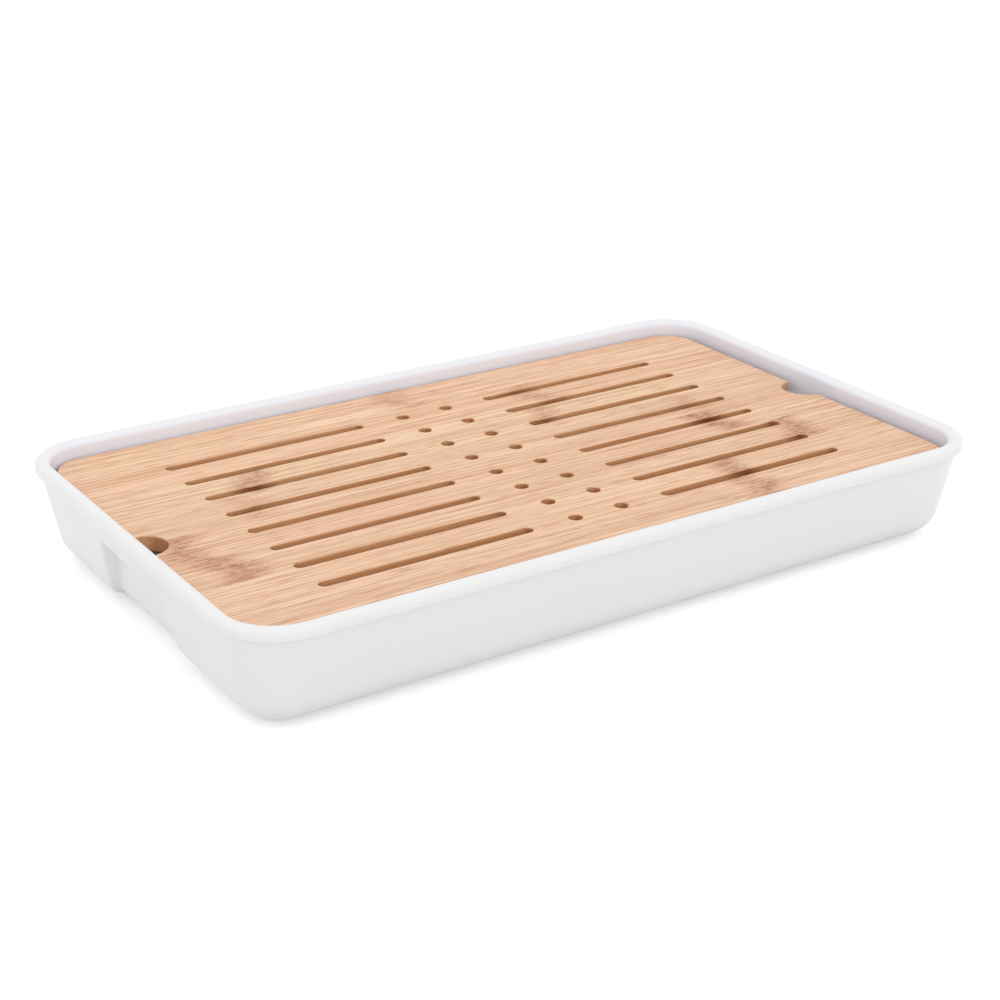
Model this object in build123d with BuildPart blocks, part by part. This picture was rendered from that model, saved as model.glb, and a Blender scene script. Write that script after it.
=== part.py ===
"""Gongfu tea tray: a white moulded tray that holds the waste water, with a slotted bamboo board lying in it.

The origin is on the surface that the tray stands on, under its middle.
+X runs along the tray's length, +Y across it to the back, and +Z is up. Lengths are in millimetres.
"""

import os
from math import atan, cos, radians, sin, sqrt, tan

from build123d import *

# Tray, outside
tray_length = 367.4
tray_width = 223.8
tray_height = 46.5
lip_overhang = 2.3
lip_height = 5.0
lip_corner_radius = 27.0
lip_top_radius = 2.6
lip_under_radius = 0.8
end_rake = 7.7
side_rake = 9.5
base_edge_radius = 14.4

# Tray, inside
wall_thickness = 3.2
floor_thickness = 3.0
rim_width = 6.6
rim_inner_radius = 2.8
pocket_draft = 2.0
board_drop = 7.0

# Finger recess, low in each end wall
recess_depth_low = 2.3
recess_depth_high = 4.8
recess_width_low = 66.0
recess_width_high = 57.0
recess_side_run = 2.4
recess_side_radius = 2.6
recess_top_drop = 14.2
recess_roof_height = 4.5
recess_roof_radius = 2.5
recess_blend_margin = 0.05
roof_skin_share = 0.4
base_step_angles = (90.0, 75.0, 60.0, 45.0, 30.0, 15.0, 0.0)

# Ribs that carry the board
rib_thickness = 3.0
rib_reach = 5.0
rib_side_spacing = 110.0
rib_end_offset = 62.0

# Bamboo board
board_thickness = 7.0
board_end_clearance = 3.5
board_side_clearance = 1.3
board_corner_radius = 15.0
board_arris = 0.8
stave_count = 8
notch_radius = 10.0
notch_corner_radius = 2.0

# Drain slots and holes
row_count = 8
row_spacing = 20.0
slot_length = 98.2
slot_width = 5.0
slot_offset = 82.4
hole_diameter = 6.0
hole_offset = 11.7
drain_chamfer = 0.35

# Battens under the board, and their screws
batten_width = 18.0
batten_thickness = 8.0
batten_end_inset = 23.0
batten_side_inset = 14.0
batten_corner_radius = 3.0
batten_chamfer = 1.0
screw_length = 12.0
screw_shank_radius = 1.6
screw_head_radius = 3.2
screw_tip_length = 2.0
screw_clearance = 0.1
screw_head_angle = 90.0
drive_slot_length = 3.4
drive_slot_width = 0.8
drive_slot_depth = 0.9
screw_stave_shares = (0.5, 2.5)

# Silicone feet
foot_radius = 7.5
foot_thickness = 2.2
foot_proud = 1.0
foot_clearance = 0.25
foot_edge_radius = 0.5
foot_inset = 24.0

# How far a cut runs past what it cuts
overrun = 4.0

# Heights of the main levels
base_z = foot_proud
floor_z = base_z + floor_thickness
rim_z = base_z + tray_height
lip_z = rim_z - lip_height
board_top_z = rim_z - board_drop
seat_z = board_top_z - board_thickness
batten_under_z = seat_z - batten_thickness
recess_top_z = rim_z - recess_top_drop
recess_back_top_z = recess_top_z - recess_roof_height
wall_height = lip_z - base_z
recess_height = recess_back_top_z - base_z

# How far the tray's faces lean out for each unit of height
wall_lean = end_rake / wall_height
recess_lean = wall_lean - (recess_depth_high - recess_depth_low) / recess_height
recess_side_lean = (recess_width_low - recess_width_high) / 2 / recess_height

# Outlines of the tray at those levels
wall_top_length = tray_length - 2 * lip_overhang
wall_top_width = tray_width - 2 * lip_overhang
wall_corner_radius = lip_corner_radius - lip_overhang
base_length = wall_top_length - 2 * end_rake
base_width = wall_top_width - 2 * side_rake
base_corner_radius = wall_corner_radius - (end_rake + side_rake) / 2
floor_share = floor_thickness / wall_height
floor_length = base_length + 2 * (end_rake * floor_share - wall_thickness)
floor_width = base_width + 2 * (side_rake * floor_share - wall_thickness)
floor_corner_radius = base_corner_radius - wall_thickness
pocket_length = tray_length - 2 * rim_width
pocket_width = tray_width - 2 * rim_width
pocket_corner_radius = lip_corner_radius - rim_width
pocket_shrink = (rim_z - seat_z) * tan(radians(pocket_draft))
seat_length = pocket_length - 2 * pocket_shrink
seat_width = pocket_width - 2 * pocket_shrink
seat_corner_radius = pocket_corner_radius - pocket_shrink

# Outline of the board and of what hangs under it
board_length = seat_length - 2 * board_end_clearance
board_width = seat_width - 2 * board_side_clearance
stave_width = board_width / stave_count
batten_x = board_length / 2 - batten_end_inset
batten_length = board_width - 2 * batten_side_inset
screw_ys = [side * share * stave_width for share in screw_stave_shares for side in (-1, 1)]
foot_x = base_length / 2 - foot_inset
foot_y = base_width / 2 - foot_inset

os.makedirs("parts", exist_ok=True)


def save(piece, name):
    """Labels a finished piece and writes it."""
    piece.part.label = name
    export_step(piece.part, f"parts/{name}.step")


def wall_x(z):
    """Where the outer face of an end wall lies at height z."""
    return base_length / 2 + wall_lean * (z - base_z)


def recess_x(z):
    """Where the back of the finger recess lies at height z."""
    return base_length / 2 - recess_depth_low + recess_lean * (z - base_z)


def recess_half_width(z):
    """Half of the recess's width at height z, midway up its slanted sides."""
    return recess_width_low / 2 - recess_side_lean * (z - base_z)


def base_inset(rise, radius, lean):
    """How far a rounded base edge draws a leaning face in, at a rise above the base."""
    tilt = atan(lean)
    if rise >= radius * (1 - sin(tilt)):
        return 0
    centre = radius * (lean - 1 / cos(tilt))
    return lean * rise - centre - sqrt(radius**2 - (radius - rise) ** 2)


def recess_plan(z, skin, low_z, low_radius):
    """Plan of the recess at height z: sides that curve in from the wall and lean towards each other."""
    rise = max(z - low_z, 0)
    front = wall_x(z) - base_inset(rise, low_radius, wall_lean) - skin + recess_blend_margin
    back = recess_x(z) - base_inset(rise, low_radius, recess_lean) - skin
    deep = back - overrun
    outer = recess_half_width(z) + base_inset(rise, low_radius, recess_side_lean) + skin + recess_side_run / 2
    inner = outer - recess_side_run * (front - deep) / (front - back)
    flank = outer + recess_side_radius
    far = wall_x(z) + overrun
    blend = recess_side_radius
    with BuildSketch(Plane.XY.offset(z)) as plan:
        with BuildLine():
            FilletPolyline(
                (far, -flank), (front, -flank), (front, -outer), (deep, -inner),
                (deep, inner), (front, outer), (front, flank), (far, flank),
                radius=[0, 0, blend, 0, 0, blend, 0, 0],
                close=True,
            )
        make_face()
    return plan.sketch


def recess_form(skin, low_z, low_radius):
    """What the recess takes away at the +X end. With a skin, the space that the wall behind it fills."""
    roof_rise = skin * roof_skin_share
    roof_low = recess_back_top_z + roof_rise
    roof_high = recess_top_z + roof_rise
    top_z = roof_high + recess_roof_radius
    far = wall_x(top_z) + overrun
    steps = [low_z + low_radius * (1 - sin(radians(angle))) for angle in base_step_angles]
    base_plans = [recess_plan(z, skin, low_z, low_radius) for z in steps]
    under_plan = recess_plan(low_z - overrun, skin, low_z, low_radius)
    top_plan = recess_plan(top_z + overrun, skin, low_z, low_radius)
    with BuildPart() as form:
        loft([under_plan, base_plans[0]], ruled=True)
        loft(base_plans)
        loft([base_plans[-1], top_plan], ruled=True)
        with BuildSketch(Plane.XZ):
            with BuildLine():
                FilletPolyline(
                    (base_length / 4, low_z - overrun), (base_length / 4, low_z),
                    (recess_x(low_z) - skin, low_z), (recess_x(roof_low) - skin, roof_low),
                    (wall_x(roof_high) - skin + recess_blend_margin, roof_high),
                    (wall_x(top_z) - skin + recess_blend_margin, top_z),
                    (far, top_z), (far, low_z - overrun),
                    radius=[0, 0, low_radius, recess_roof_radius, recess_roof_radius, 0, 0, 0],
                    close=True,
                )
            make_face()
        extrude(amount=tray_width, both=True, mode=Mode.INTERSECT)
    return form.part


# Outer form of the tray: raked walls on a softened base, under a lip
with BuildPart() as outer_form:
    with BuildSketch(Plane.XY.offset(base_z)):
        RectangleRounded(base_length, base_width, base_corner_radius)
    with BuildSketch(Plane.XY.offset(lip_z)):
        RectangleRounded(wall_top_length, wall_top_width, wall_corner_radius)
    loft(ruled=True)
    fillet(outer_form.edges().group_by(Axis.Z)[0], base_edge_radius)
    with BuildSketch(Plane.XY.offset(lip_z)):
        RectangleRounded(tray_length, tray_width, lip_corner_radius)
    extrude(amount=lip_height)
    outer_recess = recess_form(0, base_z, base_edge_radius)
    add(outer_recess, mode=Mode.SUBTRACT)
    add(mirror(outer_recess, about=Plane.YZ, mode=Mode.PRIVATE), mode=Mode.SUBTRACT)

# Inside of the tray: the reservoir, and the pocket that the board drops into
with BuildPart() as cavity:
    with BuildSketch(Plane.XY.offset(floor_z)):
        RectangleRounded(floor_length, floor_width, floor_corner_radius)
    with BuildSketch(Plane.XY.offset(seat_z)):
        RectangleRounded(seat_length, seat_width, seat_corner_radius)
    loft(ruled=True)
    fillet(cavity.edges().group_by(Axis.Z)[0], base_edge_radius - floor_thickness)
    inner_recess = recess_form(wall_thickness, floor_z, base_edge_radius - floor_thickness)
    add(inner_recess, mode=Mode.SUBTRACT)
    add(mirror(inner_recess, about=Plane.YZ, mode=Mode.PRIVATE), mode=Mode.SUBTRACT)
    with BuildSketch(Plane.XY.offset(seat_z)) as pocket_low:
        RectangleRounded(seat_length, seat_width, seat_corner_radius)
    with BuildSketch(Plane.XY.offset(rim_z)) as pocket_high:
        RectangleRounded(pocket_length, pocket_width, pocket_corner_radius)
    loft([pocket_low.sketch, pocket_high.sketch], ruled=True)

# Ribs: upright webs from the floor to the board's underside
rib_side_depth = (seat_width - board_width + wall_thickness) / 2 + rib_reach
rib_end_depth = (seat_length - board_length + wall_thickness) / 2 + rib_reach
rib_side_y = board_width / 2 - rib_reach + rib_side_depth / 2
rib_end_x = board_length / 2 - rib_reach + rib_end_depth / 2
with BuildPart() as ribs:
    with BuildSketch(Plane.XY.offset(floor_z - floor_thickness / 2)):
        with GridLocations(rib_side_spacing, 2 * rib_side_y, 3, 2):
            Rectangle(rib_thickness, rib_side_depth)
        with GridLocations(2 * rib_end_x, 2 * rib_end_offset, 2, 2):
            Rectangle(rib_end_depth, rib_thickness)
    extrude(amount=seat_z - floor_z + floor_thickness / 2)
    add(outer_form.part, mode=Mode.INTERSECT)

with BuildPart() as tray_shell:
    add(outer_form.part)
    add(cavity.part, mode=Mode.SUBTRACT)
    rim_face = tray_shell.faces().sort_by(Axis.Z)[-1]
    fillet(rim_face.inner_wires()[0].edges(), rim_inner_radius)
    rim_face = tray_shell.faces().filter_by(GeomType.PLANE).sort_by(Axis.Z)[-1]
    fillet(rim_face.outer_wire().edges(), lip_top_radius)
    lip_under = tray_shell.faces().filter_by(Axis.Z).filter_by_position(Axis.Z, lip_z, lip_z)[0]
    fillet(lip_under.outer_wire().edges(), lip_under_radius)
    add(ribs.part)
    with BuildSketch(Plane.XY.offset(base_z)):
        with GridLocations(2 * foot_x, 2 * foot_y, 2, 2):
            Circle(foot_radius + foot_clearance)
    extrude(amount=foot_thickness - foot_proud, mode=Mode.SUBTRACT)
save(tray_shell, "tray_shell")

# Feet: soft discs pressed into shallow sockets under the floor
for end_name, end in (("left", -1), ("right", 1)):
    for side_name, side in (("front", -1), ("back", 1)):
        with BuildPart() as foot:
            with BuildSketch():
                with Locations((end * foot_x, side * foot_y)):
                    Circle(foot_radius)
            extrude(amount=foot_thickness)
            fillet(foot.edges().group_by(Axis.Z)[0], foot_edge_radius)
        save(foot, f"foot_{side_name}_{end_name}")

# Board before it is divided: rounded corners, a finger notch at each end, slots and holes
with BuildPart() as board:
    with BuildSketch(Plane.XY.offset(seat_z)) as board_outline:
        RectangleRounded(board_length, board_width, board_corner_radius)
        with GridLocations(board_length, 0, 2, 1):
            Circle(notch_radius, mode=Mode.SUBTRACT)
        notch_corners = board_outline.vertices().filter_by(
            lambda v: abs(v.Y) < 2 * notch_radius
        )
        fillet(notch_corners, notch_corner_radius)
    extrude(amount=board_thickness)
    fillet(board.edges().group_by(Axis.Z)[0] + board.edges().group_by(Axis.Z)[-1], board_arris)
    with BuildSketch(Plane.XY.offset(board_top_z)):
        with GridLocations(2 * slot_offset, row_spacing, 2, row_count):
            SlotOverall(slot_length, slot_width)
        with GridLocations(2 * hole_offset, row_spacing, 2, row_count):
            Circle(hole_diameter / 2)
    extrude(amount=-board_thickness, mode=Mode.SUBTRACT)
    top_face = board.faces().sort_by(Axis.Z)[-1]
    chamfer([edge for wire in top_face.inner_wires() for edge in wire.edges()], drain_chamfer)
    pilot_depth = screw_length - batten_thickness + screw_clearance
    with Locations(
        [Location((end * batten_x, y, seat_z), (180, 0, 0)) for end in (-1, 1) for y in screw_ys]
    ):
        Hole(screw_shank_radius + screw_clearance, pilot_depth)

# Staves: the board is glued up from strips that run its whole length
for number in range(stave_count):
    middle_y = (number + 1 / 2) * stave_width - board_width / 2
    with BuildPart() as stave:
        add(board.part)
        with Locations((0, middle_y, seat_z + board_thickness / 2)):
            Box(2 * board_length, stave_width, 2 * board_thickness, mode=Mode.INTERSECT)
    save(stave, f"stave_{number + 1}")

# One countersunk screw, point up, with its head level with a batten's underside
head_height = (screw_head_radius - screw_shank_radius) / tan(radians(screw_head_angle / 2))
with BuildPart() as screw:
    with BuildSketch(Plane.XZ):
        with BuildLine():
            Polyline(
                (0, 0), (screw_head_radius, 0), (screw_shank_radius, head_height),
                (screw_shank_radius, screw_length - screw_tip_length), (0, screw_length),
                close=True,
            )
        make_face()
    revolve(axis=Axis.Z)
    with BuildSketch():
        Rectangle(drive_slot_length, drive_slot_width)
        Rectangle(drive_slot_width, drive_slot_length)
    extrude(amount=drive_slot_depth, mode=Mode.SUBTRACT)

# Battens across the underside, each with its row of screws
for end_name, end in (("left", -1), ("right", 1)):
    with BuildPart() as batten:
        with BuildSketch(Plane.XY.offset(batten_under_z)):
            with Locations((end * batten_x, 0)):
                RectangleRounded(batten_width, batten_length, batten_corner_radius)
        extrude(amount=batten_thickness)
        chamfer(batten.edges().group_by(Axis.Z)[0], batten_chamfer)
        with Locations(
            [Location((end * batten_x, y, batten_under_z), (180, 0, 0)) for y in screw_ys]
        ):
            CounterSinkHole(
                screw_shank_radius + screw_clearance,
                screw_head_radius + screw_clearance,
                counter_sink_angle=screw_head_angle,
            )
    save(batten, f"batten_{end_name}")
    with BuildPart() as screws:
        with Locations([(end * batten_x, y, batten_under_z) for y in screw_ys]):
            add(screw.part)
    save(screws, f"batten_screws_{end_name}")

print(f"tray {tray_length:.1f} x {tray_width:.1f} x {rim_z:.1f}")
print(f"board {board_length:.2f} x {board_width:.2f} x {board_thickness:.1f}, staves {stave_width:.3f}")
print(f"levels: floor {floor_z:.2f}, seat {seat_z:.2f}, board top {board_top_z:.2f}, rim {rim_z:.2f}")
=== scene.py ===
# %% [markdown]
# # A gongfu tea tray
#
# Tea is rinsed and poured over a slotted bamboo board, and a white moulded tray under it
# holds the waste water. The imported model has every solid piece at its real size, so this
# lesson is about what those pieces look like: white melamine, eight bamboo staves with
# their fibres and culm joints, stainless screws and soft feet.
#
# Lengths are in metres. X runs along the tray, Y across it to the back, and Z is up.

from math import radians

import bpy
from mathutils import Matrix, Vector


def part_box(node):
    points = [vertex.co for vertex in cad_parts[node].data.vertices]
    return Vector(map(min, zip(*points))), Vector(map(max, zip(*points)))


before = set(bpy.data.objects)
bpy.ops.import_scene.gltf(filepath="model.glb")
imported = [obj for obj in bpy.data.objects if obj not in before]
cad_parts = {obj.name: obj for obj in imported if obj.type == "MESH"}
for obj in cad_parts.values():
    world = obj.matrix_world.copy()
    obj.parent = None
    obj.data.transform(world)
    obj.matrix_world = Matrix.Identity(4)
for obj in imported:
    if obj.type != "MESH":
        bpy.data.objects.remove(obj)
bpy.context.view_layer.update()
bpy.ops.object.select_all(action="DESELECT")

# %% [markdown]
# ## Camera
#
# The long edges of the tray run away to the right and the short ones to the left, so the
# camera stands to the left of the middle, a little above the table, and well back with a
# long lens. A camera looks along its own -Z. Tilting it up about X, then turning it about
# the world's Z, gives any viewing angle, and a last turn about its own axis is the roll.

# %% Place the camera
lens_mm = 70.81
film_width_mm = 36
nearest_seen = 0.01
camera_place = Vector((-0.4456, -0.6755, 0.3634))
camera_azimuth = radians(-33.226)
camera_elevation = radians(22.959)
camera_roll = radians(0.142)

camera_data = bpy.data.cameras.new("camera")
camera_data.lens = lens_mm
camera_data.sensor_width = film_width_mm
camera_data.clip_start = nearest_seen
camera = bpy.data.objects.new("camera", camera_data)
bpy.context.scene.collection.objects.link(camera)
camera.matrix_world = (
    Matrix.Translation(camera_place)
    @ Matrix.Rotation(camera_azimuth, 4, "Z")
    @ Matrix.Rotation(radians(90) - camera_elevation, 4, "X")
    @ Matrix.Rotation(camera_roll, 4, "Z")
)
bpy.context.scene.camera = camera
bpy.context.scene.view_settings.view_transform = "Standard"
print("camera", round(camera_place.length, 3), "m from the tray")

# %% [markdown]
# ## Small helpers for node trees
#
# A material is a tree of nodes. It can be joined by hand in the shader editor, or in code,
# where a pattern that eight staves share is written once. Four short functions keep the
# trees readable: one starts a material, one adds a node, one joins an output to a socket or
# types a value in it, and one turns a colour as it is picked on screen into the linear
# light that the shader works in.

# %% Helpers that build materials
def new_material(name):
    """An empty material and its tree."""
    material = bpy.data.materials.new(name)
    material.use_nodes = True
    material.node_tree.nodes.clear()
    return material, material.node_tree


def add_node(tree, kind, **settings):
    """A new node, with its own settings."""
    node = tree.nodes.new(kind)
    for setting, value in settings.items():
        setattr(node, setting, value)
    return node


def feed(tree, socket, source):
    """Joins an output to a socket, or types a number or a colour in the socket."""
    if isinstance(source, bpy.types.NodeSocket):
        tree.links.new(source, socket)
    else:
        socket.default_value = source


def paint(red, green, blue):
    """A colour as picked on screen, from 0 to 255, as linear light."""
    shares = [value / 255 for value in (red, green, blue)]
    linear = [s / 12.92 if s <= 0.04045 else ((s + 0.055) / 1.055) ** 2.4 for s in shares]
    return (*linear, 1)


print("middle grey in linear light:", paint(128, 128, 128))

# %% [markdown]
# Patterns are made from arithmetic on coordinates. These helpers are one node each: the
# axes of a place or a direction, a sum or product, a range that is stretched to another
# one, and a mix of two colours.

# %% Helpers for arithmetic
def object_place(tree):
    """Where a point of the piece lies, in metres."""
    return add_node(tree, "ShaderNodeTexCoord").outputs["Object"]


def split_axes(tree, vector):
    """The X, Y and Z of a place or a direction."""
    node = add_node(tree, "ShaderNodeSeparateXYZ")
    feed(tree, node.inputs[0], vector)
    return node.outputs


def calc(tree, operation, a, b=0.0):
    """One arithmetic step."""
    node = add_node(tree, "ShaderNodeMath", operation=operation)
    feed(tree, node.inputs[0], a)
    feed(tree, node.inputs[1], b)
    return node.outputs[0]


def spread(tree, value, low, high, to_low=0.0, to_high=1.0):
    """A value between low and high, eased to a value between to_low and to_high."""
    node = add_node(tree, "ShaderNodeMapRange", interpolation_type="SMOOTHSTEP")
    for socket, number in zip(node.inputs, (value, low, high, to_low, to_high)):
        feed(tree, socket, number)
    return node.outputs[0]


def blend_colours(tree, share, first, second):
    """The first colour, with a share of the second."""
    node = add_node(tree, "ShaderNodeMix", data_type="RGBA")
    feed(tree, node.inputs[0], share)
    feed(tree, node.inputs[6], first)
    feed(tree, node.inputs[7], second)
    return node.outputs[2]


print("arithmetic helpers are ready")

# %% [markdown]
# Noise gives the rest. Noise that is squeezed a hundred times more across the grain than
# along it turns from clouds into fibres, so the helper takes a scale for each axis. A shift
# moves the pattern to another place, where it looks different, and layers with shifts of
# their own don't line up. The values of a noise crowd round its middle, so the helper for
# gloss takes the range where nearly all of them lie.

# %% Helpers for noise, gloss and bump
noise_low = 0.3
noise_middle = 0.5
noise_high = 0.7


def stretch(tree, place, per_metre, shift=0.0):
    """A place with its own number of steps per metre along each axis."""
    mapping = add_node(tree, "ShaderNodeMapping")
    feed(tree, mapping.inputs["Vector"], place)
    mapping.inputs["Location"].default_value = (shift, shift, shift)
    mapping.inputs["Scale"].default_value = per_metre
    return mapping.outputs[0]


def noise(tree, place, per_metre, detail=2.0, roughness=0.5, shift=0.0):
    """Noise with its own number of swells per metre along each axis."""
    cloud = add_node(tree, "ShaderNodeTexNoise")
    feed(tree, cloud.inputs["Vector"], stretch(tree, place, per_metre, shift))
    cloud.inputs["Scale"].default_value = 1
    cloud.inputs["Detail"].default_value = detail
    cloud.inputs["Roughness"].default_value = roughness
    return cloud.outputs["Fac"]


def vary_gloss(tree, shader, cloud, smoothest, roughest):
    """Lets a noise vary the roughness of a surface between two values."""
    roughness = spread(tree, cloud, noise_low, noise_high, smoothest, roughest)
    feed(tree, shader.inputs["Roughness"], roughness)


def close_material(tree, shader, height=None, bump_depth=0.0):
    """Joins the shader to the output, with a height as its bump."""
    if height is not None:
        bump = add_node(tree, "ShaderNodeBump")
        bump.inputs["Strength"].default_value = 1
        bump.inputs["Distance"].default_value = bump_depth
        feed(tree, bump.inputs["Height"], height)
        feed(tree, shader.inputs["Normal"], bump.outputs[0])
    output = add_node(tree, "ShaderNodeOutputMaterial")
    tree.links.new(shader.outputs[0], output.inputs["Surface"])


print("pattern helpers are ready")

# %% [markdown]
# ## White melamine
#
# The tray is pressed from melamine in a polished mould, so its surface is smooth and even:
# a clean white with a soft gloss. One flat colour would do from far away, but up close it
# looks like paint. Two faint things keep it real: a tone that isn't quite the same
# everywhere, and a gloss that wear and wiping make a little uneven. The wall that faces the
# board also gets painted light: a lighter, cooler white that stands in for the light in that
# pocket. To find that wall, the distance from a rounded rectangle, whose corners have the
# centres of the lip's corners, tells inside from outside.

# %% Tell the pocket of the board from the outside of the tray
lip_corner_radius = 0.027
pocket_reach = 0.0206
pocket_blend = 0.002
tray_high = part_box("tray_shell")[1]
rim_corner_x = tray_high.x - lip_corner_radius
rim_corner_y = tray_high.y - lip_corner_radius
pocket_foot_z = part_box("stave_1")[0].z
foot_blend = 0.001


def pocket_light_share(tree, place):
    """1 on the wall that faces the board, where light is painted, 0 outside and below it."""
    axes = split_axes(tree, place)
    past_x = calc(tree, "SUBTRACT", calc(tree, "ABSOLUTE", axes["X"]), rim_corner_x)
    past_y = calc(tree, "SUBTRACT", calc(tree, "ABSOLUTE", axes["Y"]), rim_corner_y)
    squares = [calc(tree, "POWER", calc(tree, "MAXIMUM", past, 0.0), 2.0) for past in (past_x, past_y)]
    distance = calc(tree, "SQRT", calc(tree, "ADD", *squares))
    within = spread(tree, distance, pocket_reach, pocket_reach + pocket_blend, 1, 0)
    above = spread(tree, axes["Z"], pocket_foot_z - foot_blend, pocket_foot_z + foot_blend)
    return calc(tree, "MULTIPLY", within, above)


print("the pocket's wall starts", round(pocket_foot_z, 4), "m above the table")

# %% Make the melamine
cloud_scale = (9, 9, 9)
wiping_scale = (25, 60, 60)
melamine_tones = (paint(230, 230, 230), paint(234, 234, 233))
# painted light: a lighter, cooler white that stands in for the light in the board's pocket
pocket_painted_light = paint(235, 238, 249)


def make_melamine():
    """The finish of the tray."""
    material, tree = new_material("white_melamine")
    place = object_place(tree)
    clouds = noise(tree, place, cloud_scale, detail=3)
    wiping = noise(tree, place, wiping_scale, detail=4, roughness=0.6)
    colour = blend_colours(tree, clouds, *melamine_tones)
    # paints light on the wall that faces the board
    colour = blend_colours(tree, pocket_light_share(tree, place), colour, pocket_painted_light)
    shader = add_node(tree, "ShaderNodeBsdfPrincipled")
    feed(tree, shader.inputs["Base Color"], colour)
    vary_gloss(tree, shader, wiping, smoothest=0.28, roughest=0.38)
    close_material(tree, shader)
    return material


def give_finish(node_name, material):
    """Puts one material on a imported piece, in place of its plain one."""
    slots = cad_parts[node_name].data.materials
    slots.clear()
    slots.append(material)


melamine = make_melamine()
give_finish("tray_shell", melamine)
print("made", melamine.name)

# %% [markdown]
# ## Bamboo
#
# Each stave is split from one culm. Its fibres run straight along it, as fine darker lines
# of uneven strength, over slow bands of lighter and darker wood. Where the culm had a joint
# the fibres are scrambled, and a cloud of red-brown flecks crosses the stave. Cut across
# the fibres, at the board's ends and round the holes, the wood shows dots in place of lines.
#
# A picture of a plank would be the quick way, but it only lies on the surface. All of it is
# made from the place in the wood instead. So a joint goes down through the stave, and a
# slot's wall shows the same fibres as the top.
#
# The first step is that place: X along the grain, which a batten has along Y, and a slight
# waver across it, so that no line is ruled.

# %% Where a point lies in the wood
waver_scale = (9, 30, 30)
waver_width = 0.001


def fibre_place(tree, grain_along_y):
    """A point's place in the wood, and how far along the grain that is."""
    place = object_place(tree)
    if grain_along_y:
        turn = add_node(tree, "ShaderNodeMapping")
        turn.inputs["Rotation"].default_value = (0, 0, radians(90))
        feed(tree, turn.inputs["Vector"], place)
        place = turn.outputs[0]
    axes = split_axes(tree, place)
    waver = calc(tree, "MULTIPLY", noise(tree, place, waver_scale, detail=1), waver_width)
    join = add_node(tree, "ShaderNodeCombineXYZ")
    feed(tree, join.inputs["X"], axes["X"])
    feed(tree, join.inputs["Y"], calc(tree, "ADD", axes["Y"], waver))
    feed(tree, join.inputs["Z"], axes["Z"])
    return join.outputs[0], axes["X"]


print("a fibre wavers by up to", waver_width, "m")

# %% [markdown]
# The grain has four layers of streaks, from slow bands to short dashes. Each browns the
# colour where its own noise is high. The threads are the lines that one sees from a step
# away, and a noise beside theirs makes them strong in some places and faint in others.

# %% Grain
band_scale = (5, 130, 130)
thread_scale = (5, 620, 620)
strength_scale = (6, 240, 240)
faintest_thread_share = 0.12
strongest_thread_share = 0.55
fibre_scale = (11, 1500, 1400)
dash_scale = (70, 1300, 1300)
fibre_brown = paint(180, 120, 80)
dash_brown = paint(176, 112, 74)


def add_streaks(tree, colour, brown, cloud, starts, full, share):
    """Browns a colour where a noise is above starts, by the whole share where it is above full."""
    return blend_colours(tree, spread(tree, cloud, starts, full, 0, share), colour, brown)


def grain(tree, wood, light, dark, shift):
    """The colour of straight-grained wood, and the noise of its finest fibres."""
    bands = noise(tree, wood, band_scale, detail=3, roughness=0.6, shift=shift)
    threads = noise(tree, wood, thread_scale, detail=2, roughness=0.75, shift=shift)
    strength = noise(tree, wood, strength_scale, detail=1, shift=shift + 2)
    fibres = noise(tree, wood, fibre_scale, detail=1, roughness=0.6, shift=shift + 7)
    dashes = noise(tree, wood, dash_scale, detail=1, shift=shift + 5)
    thread_share = spread(
        tree, strength, noise_low, noise_high, faintest_thread_share, strongest_thread_share
    )
    colour = add_streaks(tree, light, dark, bands, starts=0.35, full=0.68, share=0.15)
    colour = add_streaks(tree, colour, dark, threads, starts=0.38, full=0.64, share=thread_share)
    colour = add_streaks(tree, colour, fibre_brown, fibres, starts=0.46, full=0.62, share=0.45)
    colour = add_streaks(tree, colour, dash_brown, dashes, starts=0.56, full=0.68, share=0.45)
    return colour, fibres


print("threads are about", round(1000 / thread_scale[1], 1), "mm apart")

# %% [markdown]
# A face's own direction tells how it was cut: the top looks up, and the wall of a slot or
# the edge of the board looks sideways. Such a cut is darker, above all in the slots and
# holes: partly from the oil that a cut takes up where water runs, and partly from painted
# shade. The wall at each end of a slot gets painted shade as well. Painting these places by
# hand would need an unwrapped mesh, and a few sums on the place find them as well.

# %% Cuts with oil and painted shade
wall_looks_up = 0.35
top_looks_up = 0.8
slot_rows_reach = 0.08
rows_blend = 0.02
# cuts are darkened partly by oil and partly by painted shade
edge_oil_and_shade_share = 0.3
slot_oil_and_shade_share = 0.65
oil_and_shade_brown = paint(208, 148, 90)

slot_middle_x = 0.0824
slot_half_length = 0.0497
# painted shade at the two ends of each slot's wall
slot_end_shade_length = 0.004
slot_end_shade_share = 0.6
slot_end_shade_overrun = 0.001
slot_end_shade_brown = paint(104, 62, 38)


def by_cut(tree, up, on_wall, on_top):
    """One value on walls and edges, and another on the top and the underside."""
    return spread(tree, up, wall_looks_up, top_looks_up, on_wall, on_top)


def in_slot_rows(tree, wood):
    """1 where the slots and holes are, fading to 0 before the board's long edges."""
    from_middle = calc(tree, "ABSOLUTE", split_axes(tree, wood)["Y"])
    return spread(tree, from_middle, slot_rows_reach, slot_rows_reach + rows_blend, 1, 0)


def add_oil_and_shade(tree, colour, cut, in_rows):
    """Deepens the colour of a cut with oil and painted shade, most of all in the rows of slots."""
    oiled_and_shaded = calc(tree, "MULTIPLY", cut, spread(tree, in_rows, 0, 1, edge_oil_and_shade_share, slot_oil_and_shade_share))
    return blend_colours(tree, oiled_and_shaded, colour, oil_and_shade_brown)


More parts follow.
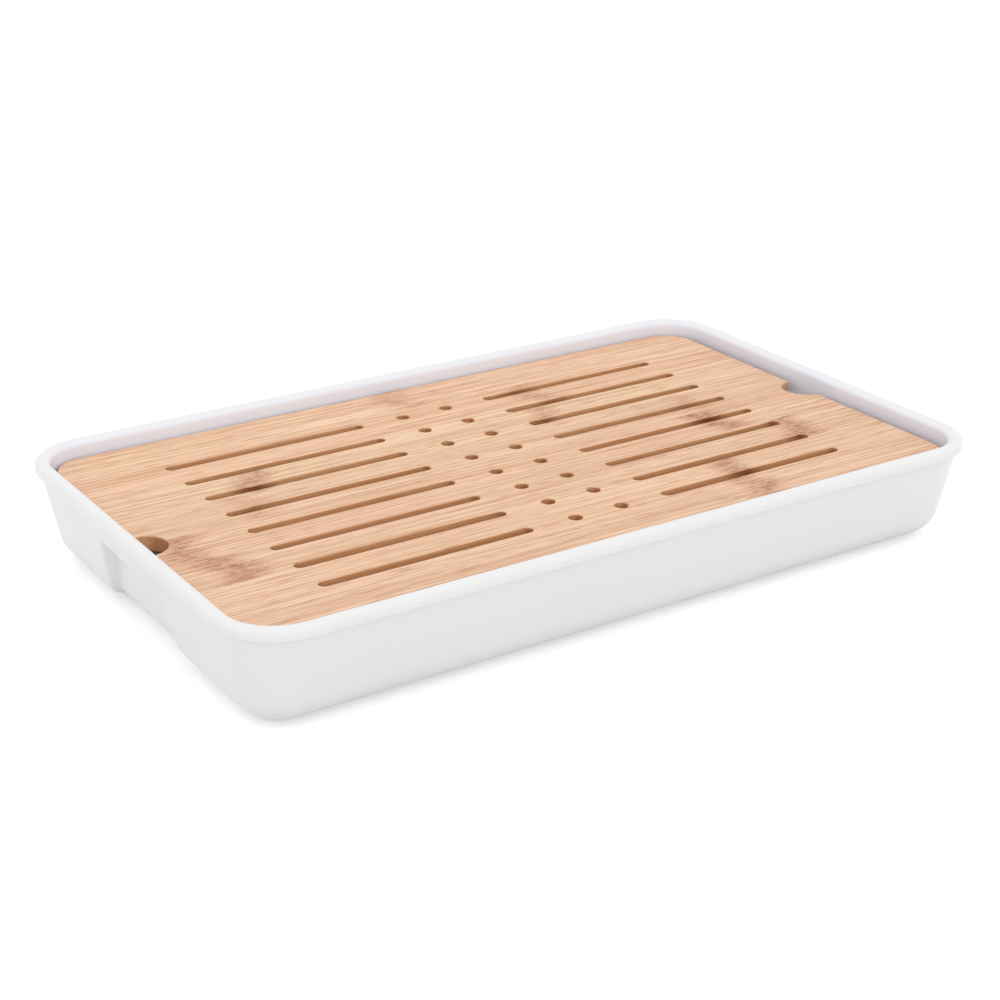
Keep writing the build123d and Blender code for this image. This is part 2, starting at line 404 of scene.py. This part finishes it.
def add_slot_end_shade(tree, colour, cut, in_rows, along):
    """Paints shade on a slot's wall at the two ends of the slot."""
    from_middle = calc(tree, "SUBTRACT", calc(tree, "ABSOLUTE", along), slot_middle_x)
    distance = calc(tree, "ABSOLUTE", from_middle)
    shaded = spread(tree, distance, slot_half_length - slot_end_shade_length, slot_half_length, 0, slot_end_shade_share)
    before_end = calc(tree, "LESS_THAN", distance, slot_half_length + slot_end_shade_overrun)
    for share in (before_end, cut, in_rows):
        shaded = calc(tree, "MULTIPLY", shaded, share)
    return blend_colours(tree, shaded, colour, slot_end_shade_brown)


print("slots are browned over", slot_end_shade_length, "m at each end")

# %% [markdown]
# A culm joint is a soft stain with sharp flecks in it. Both follow one cloud, which is
# strongest where the joint crosses the stave. A noise drags that place to and fro, so that
# the joint has ragged sides. In the wall of a slot the joint is cut across and looks darker.

# %% Culm joints
drift_scale = (6, 90, 90)
drift_reach = 2.5
fleck_scale = (220, 900, 600)
fleck_starts = 0.42
fleck_full = 0.64
stain_share = 0.5
wall_stain_share = 0.9
fleck_share = 0.8
stain_brown = paint(190, 118, 80)
wall_stain_brown = paint(132, 66, 32)
fleck_brown = paint(136, 74, 42)


def joint_cloud(tree, wood, along, joint_x, reach, shift):
    """How much of a culm joint a point has: most at joint_x, none past reach."""
    drift = calc(tree, "SUBTRACT", noise(tree, wood, drift_scale, detail=2, shift=shift), noise_middle)
    offset = calc(tree, "SUBTRACT", along, joint_x)
    offset = calc(tree, "ADD", offset, calc(tree, "MULTIPLY", drift, drift_reach * reach))
    return spread(tree, calc(tree, "ABSOLUTE", offset), 0, reach, 1, 0)


def add_joints(tree, colour, wood, along, up, joints, shift):
    """Crosses a stave with the stain and the flecks of each of its joints."""
    brown = blend_colours(tree, by_cut(tree, up, on_wall=1, on_top=0), stain_brown, wall_stain_brown)
    flecks = noise(tree, wood, fleck_scale, detail=3, roughness=0.75, shift=shift + 3)
    fleck = spread(tree, flecks, fleck_starts, fleck_full)
    for joint_x, reach, depth in joints:
        cloud = joint_cloud(tree, wood, along, joint_x, reach, shift + 11)
        stain = by_cut(tree, up, on_wall=wall_stain_share * depth, on_top=stain_share * depth)
        colour = blend_colours(tree, calc(tree, "MULTIPLY", cloud, stain), colour, brown)
        flecked = calc(tree, "MULTIPLY", calc(tree, "MULTIPLY", fleck, cloud), fleck_share * depth)
        colour = blend_colours(tree, flecked, colour, fleck_brown)
    return colour


print("culm joints are ready")

# %% [markdown]
# Where a face looks along the grain, one sees the cut ends of the fibres. Voronoi cells are
# scattered evenly, as fibre ends are, and the distance from a cell's middle gives each one
# a dark core.

# %% End grain
dot_scale = (200, 1700, 1500)
dot_core = 0.15
dot_edge = 0.45
dot_share = 0.8
end_starts = 0.45
end_full = 0.85
end_share = 0.8
end_brown = paint(190, 126, 82)
dot_brown = paint(112, 64, 42)


def add_end_grain(tree, colour, wood, looks_along):
    """Shows the fibres as dots where a face looks along the grain."""
    dots = add_node(tree, "ShaderNodeTexVoronoi")
    feed(tree, dots.inputs["Vector"], stretch(tree, wood, dot_scale))
    dots.inputs["Scale"].default_value = 1
    dot = spread(tree, dots.outputs["Distance"], dot_core, dot_edge, dot_share, 0)
    end_cut = spread(tree, calc(tree, "ABSOLUTE", looks_along), end_starts, end_full)
    end_colour = blend_colours(tree, dot, end_brown, dot_brown)
    return blend_colours(tree, calc(tree, "MULTIPLY", end_cut, end_share), colour, end_colour)


print("end grain has about", dot_scale[1], "dots per metre")

# %% [markdown]
# One function makes the bamboo of any stave from its own light and dark tone, its culm
# joints and a shift that moves the noise, so that no two staves are alike. The finest
# fibres also vary the gloss and stand a little proud, as they do on sanded wood.

# %% Make bamboo
bamboo_sheen = 0.35
fibre_height = 0.00004


def make_bamboo(name, light, dark, joints=(), shift=0.0, grain_along_y=False):
    """The finish of a stave or a batten."""
    material, tree = new_material(name)
    wood, along = fibre_place(tree, grain_along_y)
    looks = split_axes(tree, add_node(tree, "ShaderNodeTexCoord").outputs["Normal"])
    up = calc(tree, "ABSOLUTE", looks["Z"])
    cut = by_cut(tree, up, on_wall=1, on_top=0)
    in_rows = in_slot_rows(tree, wood)
    colour, fibres = grain(tree, wood, light, dark, shift)
    # oil and painted shade on the cuts
    colour = add_oil_and_shade(tree, colour, cut, in_rows)
    colour = add_joints(tree, colour, wood, along, up, joints, shift)
    # painted shade at the ends of the slots
    colour = add_slot_end_shade(tree, colour, cut, in_rows, along)
    colour = add_end_grain(tree, colour, wood, looks["Y" if grain_along_y else "X"])
    shader = add_node(tree, "ShaderNodeBsdfPrincipled")
    feed(tree, shader.inputs["Base Color"], colour)
    shader.inputs["Specular IOR Level"].default_value = bamboo_sheen
    vary_gloss(tree, shader, fibres, smoothest=0.42, roughest=0.58)
    close_material(tree, shader, fibres, fibre_height)
    return material


print("any bamboo piece can be made now")

# %% [markdown]
# ## The eight staves
#
# The staves of this board are nearly one tone. Counted from the front, the sixth is the
# palest, and the eighth is a little paler than its neighbour. The culm joints tell the
# others apart, and they are strongest in the third and the fourth. Chance could place the
# joints, but chosen places look like this board. Each row gives a stave's light and dark
# tone and its joints: where along the stave a joint is, how far its flecks reach, and how
# dark they are.

# %% Colour the staves
shift_between_staves = 5.3
stave_looks = {
    "stave_1": (paint(240, 203, 171), paint(207, 157, 118), [(0.073, 0.014, 0.75)]),
    "stave_2": (paint(241, 204, 171), paint(211, 162, 123), [(0.078, 0.012, 0.8)]),
    "stave_3": (paint(240, 203, 171), paint(210, 161, 122), [(-0.152, 0.016, 0.9), (0.138, 0.015, 0.9)]),
    "stave_4": (paint(240, 202, 169), paint(211, 161, 123), [(-0.160, 0.014, 0.8), (0.1065, 0.014, 1.0)]),
    "stave_5": (paint(238, 201, 168), paint(212, 165, 128), [(-0.118, 0.012, 0.35), (0.114, 0.012, 0.35)]),
    "stave_6": (paint(242, 209, 174), paint(218, 173, 134), [(-0.105, 0.014, 0.85), (0.046, 0.012, 0.6)]),
    "stave_7": (paint(242, 203, 169), paint(212, 161, 122), [(0.056, 0.013, 0.5)]),
    "stave_8": (paint(244, 207, 172), paint(217, 167, 128), [(-0.002, 0.014, 0.45)]),
}
for number, (node_name, (light, dark, joints)) in enumerate(stave_looks.items()):
    shift = number * shift_between_staves
    give_finish(node_name, make_bamboo(f"bamboo_{node_name}", light, dark, joints, shift=shift))
print("coloured", len(stave_looks), "staves")

# %% [markdown]
# ## Battens
#
# The two battens under the board are of the same bamboo, sawn without a joint in it. They
# lie across the board, so their grain is turned. They share one material, because each is
# seen alone, and their places in the wood differ anyway.

# %% Colour the battens
batten_light = paint(234, 196, 160)
batten_dark = paint(208, 160, 120)
batten_shift = 40
batten_bamboo = make_bamboo(
    "batten_bamboo", batten_light, batten_dark, shift=batten_shift, grain_along_y=True
)
for side in ("left", "right"):
    give_finish(f"batten_{side}", batten_bamboo)
print("made", batten_bamboo.name)

# %% [markdown]
# ## Screws
#
# The screws are stainless: a metal whose gloss is broken up by the fine turning marks round
# each head. Rings round every head would have to be centred eight times. At this size a
# fine noise looks the same, and it needs no centre.

# %% Make the steel
mark_scale = (3000, 3000, 900)
mark_depth = 0.00001
steel_tones = (paint(190, 190, 188), paint(212, 212, 210))


def make_steel():
    """The finish of the screws."""
    material, tree = new_material("screw_steel")
    marks = noise(tree, object_place(tree), mark_scale, detail=2)
    shader = add_node(tree, "ShaderNodeBsdfPrincipled")
    feed(tree, shader.inputs["Base Color"], blend_colours(tree, marks, *steel_tones))
    shader.inputs["Metallic"].default_value = 1
    vary_gloss(tree, shader, marks, smoothest=0.22, roughest=0.4)
    close_material(tree, shader, marks, mark_depth)
    return material


screw_steel = make_steel()
for side in ("left", "right"):
    give_finish(f"batten_screws_{side}", screw_steel)
print("made", screw_steel.name)

# %% [markdown]
# ## Feet
#
# The feet are silicone, soft, matt and faintly dusty. Real silicone lets some light through,
# but only a sliver of each foot shows under the tray. So a plain grey with a dusty noise is
# enough, and it renders faster than light that scatters inside.

# %% Make the silicone
dust_scale = (900, 900, 900)
dust_depth = 0.00002
silicone_tones = (paint(176, 178, 178), paint(204, 205, 203))


def make_silicone():
    """The finish of the feet."""
    material, tree = new_material("foot_silicone")
    dust = noise(tree, object_place(tree), dust_scale, detail=4, roughness=0.65)
    shader = add_node(tree, "ShaderNodeBsdfPrincipled")
    feed(tree, shader.inputs["Base Color"], blend_colours(tree, dust, *silicone_tones))
    vary_gloss(tree, shader, dust, smoothest=0.55, roughest=0.75)
    close_material(tree, shader, dust, dust_depth)
    return material


foot_silicone = make_silicone()
for node_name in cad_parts:
    if node_name.startswith("foot_"):
        give_finish(node_name, foot_silicone)
print("made", foot_silicone.name)

# %% [markdown]
# ## Floor and light
#
# The tray stands on a plain white table in a white studio. The world gives even light from
# all round, one large soft lamp hangs over the tray, and another stands in front of it, so
# that the walls have their gentle shading. The table is a white sheet that shows the tray's
# shadow. More light would make it whiter, but would bleach the tray too. So for rays that
# come straight from the camera, or that a gloss or clear piece sends on, the table glows a
# little instead, and it looks white where it isn't in shadow.

# %% Tell which rays see the studio
white = (1, 1, 1, 1)


def seen_directly(tree):
    """1 for rays from the camera and for those that a gloss or a clear piece sends on."""
    rays = add_node(tree, "ShaderNodeLightPath")
    seen = calc(tree, "MAXIMUM", rays.outputs["Is Camera Ray"], rays.outputs["Is Glossy Ray"])
    return calc(tree, "MAXIMUM", seen, rays.outputs["Is Transmission Ray"])


print("rays from the camera are told from the rest")

# %% Lay the table
table_size = 12.0
table_tone = 0.8
table_glow = 0.4


def make_table_white():
    """The finish of the table: a white sheet that glows where it is seen."""
    material, tree = new_material("table_white")
    sheet = add_node(tree, "ShaderNodeBsdfDiffuse")
    sheet.inputs["Color"].default_value = (table_tone, table_tone, table_tone, 1)
    glow = add_node(tree, "ShaderNodeEmission")
    glow.inputs["Color"].default_value = white
    feed(tree, glow.inputs["Strength"], calc(tree, "MULTIPLY", seen_directly(tree), table_glow))
    total = add_node(tree, "ShaderNodeAddShader")
    feed(tree, total.inputs[0], sheet.outputs[0])
    feed(tree, total.inputs[1], glow.outputs[0])
    close_material(tree, total)
    return material


bpy.ops.mesh.primitive_plane_add(size=table_size, location=(0, 0, 0))
table = bpy.context.object
table.name = "table"
table.data.materials.append(make_table_white())
print("table", table_size, "m across")

# %% Light the world
ambient_strength = 1

world = bpy.data.worlds.new("studio")
world.use_nodes = True
bpy.context.scene.world = world
sky = world.node_tree
sky.nodes.clear()
ambient = add_node(sky, "ShaderNodeBackground")
ambient.inputs["Color"].default_value = white
ambient.inputs["Strength"].default_value = ambient_strength
backdrop = add_node(sky, "ShaderNodeBackground")
backdrop.inputs["Color"].default_value = white
choice = add_node(sky, "ShaderNodeMixShader")
feed(sky, choice.inputs[0], seen_directly(sky))
feed(sky, choice.inputs[1], ambient.outputs[0])
feed(sky, choice.inputs[2], backdrop.outputs[0])
sky_output = add_node(sky, "ShaderNodeOutputWorld")
feed(sky, sky_output.inputs["Surface"], choice.outputs[0])
print("even light of strength", ambient_strength)

# %% Hang the lamps
def add_softbox(name, place, width, power):
    """A square lamp that looks at the middle of the tray."""
    lamp = bpy.data.lights.new(name, "AREA")
    lamp.size = width
    lamp.energy = power
    softbox = bpy.data.objects.new(name, lamp)
    bpy.context.scene.collection.objects.link(softbox)
    softbox.location = place
    softbox.rotation_mode = "QUATERNION"
    softbox.rotation_quaternion = Vector(place).to_track_quat("Z", "Y")
    return softbox


overhead = add_softbox("softbox_top", (-0.3, 0.1, 1.6), width=1.2, power=1.6)
in_front = add_softbox("softbox_front", (-0.3, -1.7, 0.8), width=1.0, power=3.0)
print("lamps:", overhead.name, "and", in_front.name)
